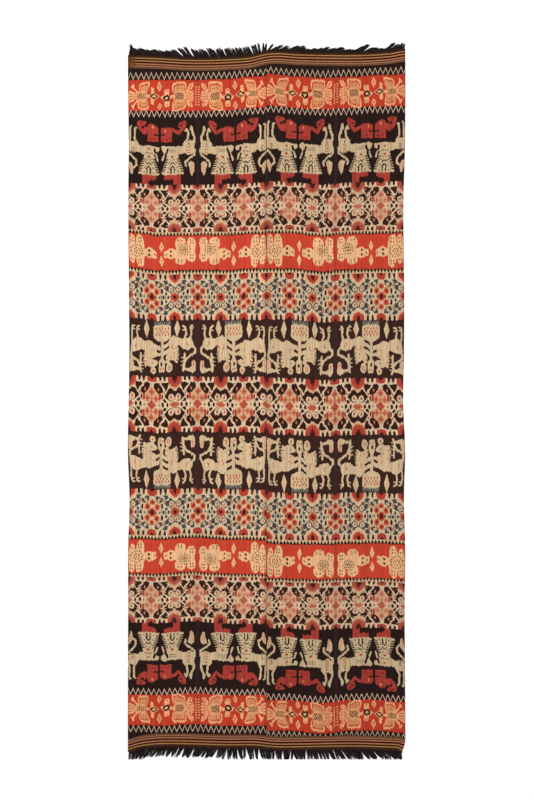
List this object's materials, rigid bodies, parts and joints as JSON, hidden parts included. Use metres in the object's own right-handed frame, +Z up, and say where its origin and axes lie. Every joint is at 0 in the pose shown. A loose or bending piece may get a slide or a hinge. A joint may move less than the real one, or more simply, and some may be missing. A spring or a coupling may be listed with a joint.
{
  "type": "ikat woven cloth",
  "caption": "Flat-laid warp ikat mantle of two joined loom panels with figured bands, ribbed striped end bands and a dark warp-end fringe; worn or hung as cloth.",
  "frame": {"origin": "middle of the cloth's outline, on the surface it lies on", "axes": "+X across the cloth to the right panel, +Y along the warp to the upper fringe, +Z up out of the face"},
  "size_m": [1.04, 2.6912, 0.0083],
  "materials": {
    "ikat_panel": "matt hand-spun cotton, warp ikat in rust red, cream, dark indigo brown and blue grey",
    "striped_band": "matt weft-faced cotton, gold and brown cords on dark maroon",
    "fringe_yarn": "near-black twisted cotton yarn"
  },
  "bodies": {
    "root": {"panel_left": "ikat_panel", "panel_right": "ikat_panel", "end_band_top": "striped_band", "end_band_bottom": "striped_band", "fringe_top": "fringe_yarn", "fringe_bottom": "fringe_yarn"}
  },
  "joints": []
}
